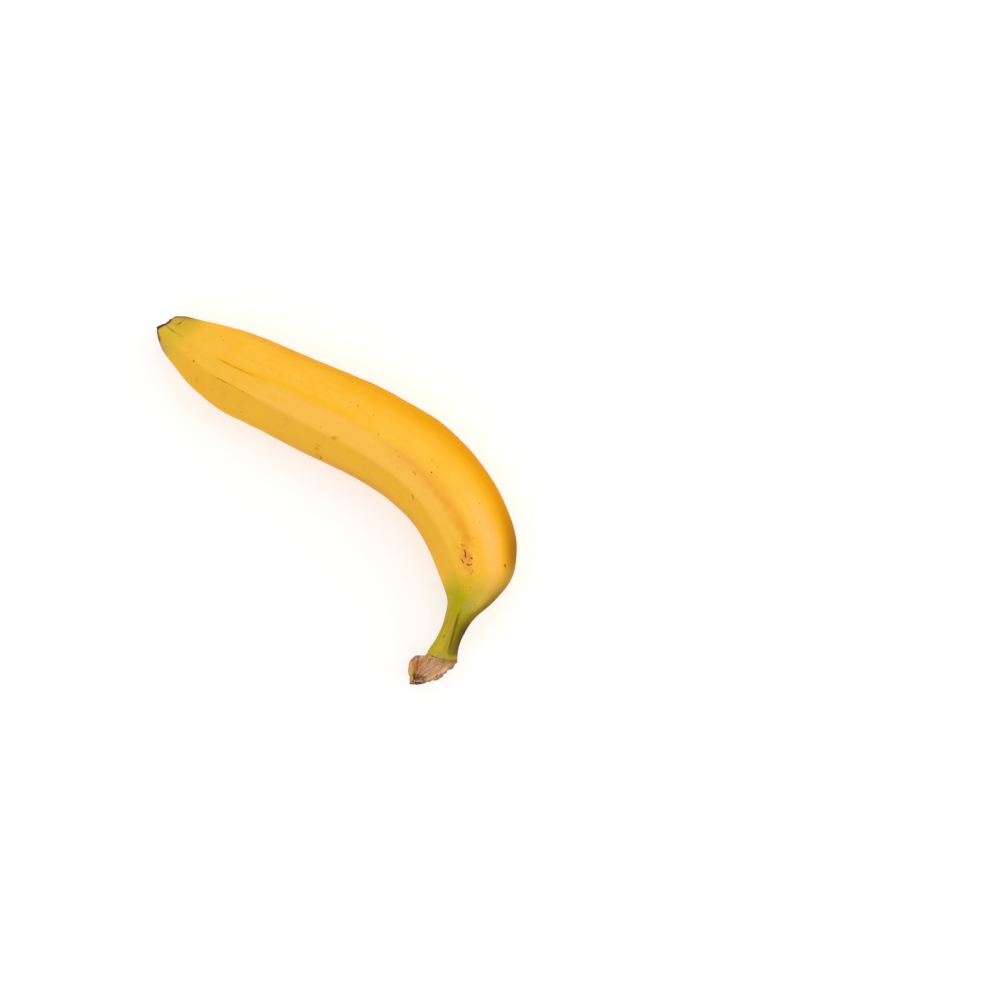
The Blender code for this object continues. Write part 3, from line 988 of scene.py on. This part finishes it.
def torn_layers(peel, colour, place, along, across, up, tissue, past, crust):
    """Torn tissue with its fibres, the dried edges of the skin with a painted highlight on the flap,
    and the blossom end's rim.
    """
    away = peel.vector("SUBTRACT", place, (*FIBRES_MEET, 0.0))
    x, y, _ = (peel.node("ShaderNodeSeparateXYZ", None, {0: away}, axis) for axis in range(3))
    sideways = x.maths("ARCTAN2", y, x) * 12.0
    distance = peel.vector("LENGTH", peel.vector("MULTIPLY", away, (1.0, 1.0, 0.0)), output=1)
    fibre = peel.noise(peel.join(sideways, distance * 0.12, up * 0.4), 1.3, 5.0, 0.75, 0.2)
    blotches = peel.noise(place, 0.45, 3.0, 0.6)
    dried_skin = peel.mix(FLAP_TAN, DRIED_GREY, blotches.ease(0.4, 0.6))
    colour = peel.mix(colour, dried_skin, past.ease(0.2, 1.4) * 0.95)
    lip = past.near(-1.3, 1.7) * up.ease(-0.2, 0.2) * across.ease(-1.0, -0.3)
    colour = peel.mix(colour, LIP_TAN, lip * 0.75)
    torn = peel.mix(TISSUE_PALE, TISSUE_TAN, fibre.ease(0.38, 0.6))
    torn = peel.mix(torn, TISSUE_BROWN, blotches.ease(0.55, 0.8) * 0.15)
    torn = peel.mix(torn, TISSUE_BROWN, fibre.ease(0.56, 0.7) * 0.5)
    torn = peel.mix(torn, TISSUE_OLIVE, past.ease(5.0, 0.3) * across.ease(-0.4, 0.3) * 0.8)
    colour = peel.mix(colour, torn, tissue)

    top = up.ease(-0.5, 0.1)
    plan = plan_of(peel, place, 1.1, 0.8)
    for paint_of, strokes in (
        (TISSUE_ORANGE, ORANGE_STROKES),
        (TISSUE_DEEP, DEEP_STROKES),
        (TISSUE_RED, RED_STROKES),
        (WEDGE_OCHRE, WEDGE_STROKES),
        (FLAP_YELLOW, FLAP_STROKES),
        # Painted highlight on the flap's crest.
        (DRIED_GREY, PURPLE_HIGHLIGHT_STROKES),
        (DRIED_DARK, DARK_STROKES),
        (DRIED_DULL, DULL_STROKES),
    ):
        mask = strongest(stroke_mask(peel, plan, *stroke) for stroke in strokes)
        colour = peel.mix(colour, paint_of, mask * top)
    ragged = peel.noise(place, 1.2, 3.0, 0.7)
    rim = past.ease(1.0, 3.0) * abs(up + 0.05).ease(0.35, 0.05) * ragged.ease(0.46, 0.62)
    rim = rim * across.ease(-0.95, -0.7)
    colour = peel.mix(colour, DRIED_DARK, rim * 0.55)
    edge = along.ease(206.0, 207.6) * across.ease(-0.4, 0.2) * up.ease(-0.7, -0.1)
    colour = peel.mix(colour, DRIED_DULL, edge * ragged.ease(0.3, 0.55) * 0.75)

    pink = along.near(0.8, 0.7) * up.ease(-0.4, 0.3)
    colour = peel.mix(colour, RIM_PINK, pink * 0.35)
    pink_side = across.ease(-0.62, -0.95) * along.near(6.5, 5.0)
    colour = peel.mix(colour, RIM_PINK, pink_side * 0.7)
    corner = across.ease(0.62, 0.96) * along.ease(9.0, 2.0) * top
    colour = peel.mix(colour, RIM_BROWN, corner * 0.75)
    dark_side = across.ease(-0.72, -0.93) * along.ease(5.4, 3.4)
    crumbs = peel.noise(place, 0.5, 4.0, 0.7).ease(0.46, 0.66)
    outer = peel.node("ShaderNodeSeparateXYZ", None, {0: place}, 1).ease(31.5, 27.5)
    rim_colour = peel.mix(RIM_PURPLE, RIM_BROWN, outer * 0.65 + crumbs * 0.3)
    return peel.mix(colour, rim_colour, crust.larger(dark_side * 0.85)), fibre


def peel_finish():
    """The whole skin: ripe yellow, green ends, ridge lines, marks, torn tissue and crust, with some
    shade and highlights painted into its colour.
    """
    peel = Finish("banana_peel")
    place = peel.object_place()
    wander = peel.noise(place, 0.3, 2.0) - 0.5
    reaches = (0.8, 0.04, 0.04)
    along, across, up = (wander * reach + field for reach, field in zip(reaches, peel.field("place")))
    from_top_ridge, from_inner_ridge, from_ridge = peel.field("ridges")
    tissue, past, crust = peel.field("torn")
    colour = yellow_layers(peel, place, along, across, up, from_top_ridge, from_inner_ridge)
    colour = green_layers(peel, colour, place, along, across, up)
    colour = ridge_layers(peel, colour, place, along, across, from_top_ridge, from_inner_ridge)
    colour = mark_layers(peel, colour, place, along, up, from_ridge)
    colour, fibre = torn_layers(peel, colour, place, along, across, up, tissue, past, crust)

    rough_skin = peel.noise(place, 0.4, 3.0, 0.6) * 0.14 + 0.42
    dry = tissue.larger(crust)
    roughness = rough_skin * (1 - dry) + dry * 0.85
    pores = peel.noise(place, 2.2, 3.0, 0.6)
    wrinkles = peel.streaks(0.25, 16.0, 1.0, roughness=0.6)
    normal = peel.bump(pores, 0.00005)
    normal = peel.bump(wrinkles, 0.00014, normal=normal)
    normal = peel.bump(fibre * tissue, 0.0007, normal=normal)
    peel.set(
        Base_Color=colour,
        Roughness=roughness,
        Normal=normal,
        IOR=PEEL_IOR,
        Specular_IOR_Level=PEEL_SPECULAR,
        Subsurface_Weight=0.06,
        Subsurface_Radius=(0.6, 0.35, 0.08),
        Subsurface_Scale=0.004,
    )
    return peel.material


def fibre_finish(name, light, dark):
    """Dry plant fibre: two browns in streaks, matt."""
    dry = Finish(name)
    place = dry.object_place()
    share = dry.noise(place, 1.1, 4.0, 0.7).ease(0.35, 0.65)
    dry.set(
        Base_Color=dry.mix(light, dark, share),
        Roughness=dry.noise(place, 2.0) * 0.2 + 0.75,
        Normal=dry.bump(dry.noise(place, 5.0, 3.0, 0.6), 0.00008),
        Specular_IOR_Level=0.25,
    )
    return dry.material


def floor_finish():
    """A pale light table: nearly white, giving a little light of its own."""
    pale = Finish("pale_floor")
    place = pale.object_place()
    shade = pale.noise(place, 0.02, 2.0, 0.5)
    pale.set(
        Base_Color=pale.mix(paint(208, 208, 208), paint(205, 205, 206), shade),
        Roughness=0.9,
        Specular_IOR_Level=0.1,
        Emission_Color=(1.0, 1.0, 1.0, 1.0),
        Emission_Strength=FLOOR_GLOW,
    )
    return pale.material


# The pieces


def make_skin():
    skin = show("banana_skin", skin_mesh(), peel_finish())
    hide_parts("banana")


def make_fibres():
    """Loose fibres on the torn face, at its far edge, and a few at the lip."""
    random = np.random.default_rng(21)
    groups = (
        ("torn_fibres_pale", 60, (196.5, 205.5), (0.35, 1.85), (1.2, 3.4), (0.06, 0.14)),
        ("torn_fibres_dark", 40, (203.0, 207.4), (1.25, 2.6), (0.8, 2.0), (0.08, 0.18)),
    )
    finishes = (
        fibre_finish("pale_fibre", TISSUE_PALE, TISSUE_TAN),
        fibre_finish("dark_fibre", TISSUE_BROWN, DRIED_DARK),
    )
    for (name, count, along, turn, reach, width), finish in zip(groups, finishes):
        roots = np.stack([random.uniform(*along, count), random.uniform(*turn, count)], axis=1)
        reaches, widths = random.uniform(*reach, count), random.uniform(*width, count)
        show(name, strands_mesh(name, roots, reaches, widths, 22), finish)


# The stage


def plan_point(right, up, height):
    """A point given in the picture's own directions, in millimetres, as a place in metres."""
    x = VIEW_CENTRE[0] + right * PICTURE_RIGHT[0] + up * PICTURE_UP[0]
    y = VIEW_CENTRE[1] + right * PICTURE_RIGHT[1] + up * PICTURE_UP[1]
    return Vector((x, y, height)) * MM


def make_camera():
    """Straight above the picture's centre, turned so that the picture's right and up are kept."""
    data = bpy.data.cameras.new("camera")
    data.sensor_width = SENSOR
    data.lens = SENSOR * VIEW_HEIGHT / VIEW_WIDTH
    camera = bpy.data.objects.new("camera", data)
    right, up = Vector((*PICTURE_RIGHT, 0)), Vector((*PICTURE_UP, 0))
    turn = Matrix((right, up, right.cross(up))).transposed().to_4x4()
    camera.matrix_world = Matrix.Translation(plan_point(0, 0, VIEW_PLANE + VIEW_HEIGHT)) @ turn
    bpy.context.scene.collection.objects.link(camera)
    bpy.context.scene.camera = camera


def make_softbox(name, place, aim, size, power):
    """A square soft light at a place, turned to face its aim."""
    data = bpy.data.lights.new(name, "AREA")
    data.shape, data.size, data.energy = "SQUARE", size, power
    light = bpy.data.objects.new(name, data)
    light.location = place
    light.rotation_euler = (place - aim).to_track_quat("Z", "Y").to_euler()
    bpy.context.scene.collection.objects.link(light)


def make_stage():
    """A pale floor just below the fruit, soft light from above and from the picture's right."""
    bpy.ops.mesh.primitive_grid_add(x_subdivisions=8, y_subdivisions=8, size=FLOOR_SIZE)
    floor = bpy.context.object
    floor.name = "floor"
    floor.data.transform(Matrix.Translation((0, 0, -FLOOR_DROP * MM)))
    floor.data.materials.append(floor_finish())
    aim = Vector((0, 0, 0.015))
    make_softbox("overhead", plan_point(200, 300, 1500), aim, 1.6, 6.5)
    make_softbox("side", plan_point(1300, 100, 700), aim, 0.9, 3.0)
    world = bpy.data.worlds.new("studio")
    bpy.context.scene.world = world
    world.use_nodes = True
    background = world.node_tree.nodes["Background"]
    background.inputs["Color"].default_value = (1.0, 1.0, 1.0, 1.0)
    background.inputs["Strength"].default_value = ROOM_LIGHT
    bpy.context.scene.view_settings.view_transform = "Standard"


make_camera()
make_stage()
make_skin()
make_fibres()

bpy.context.view_layer.update()
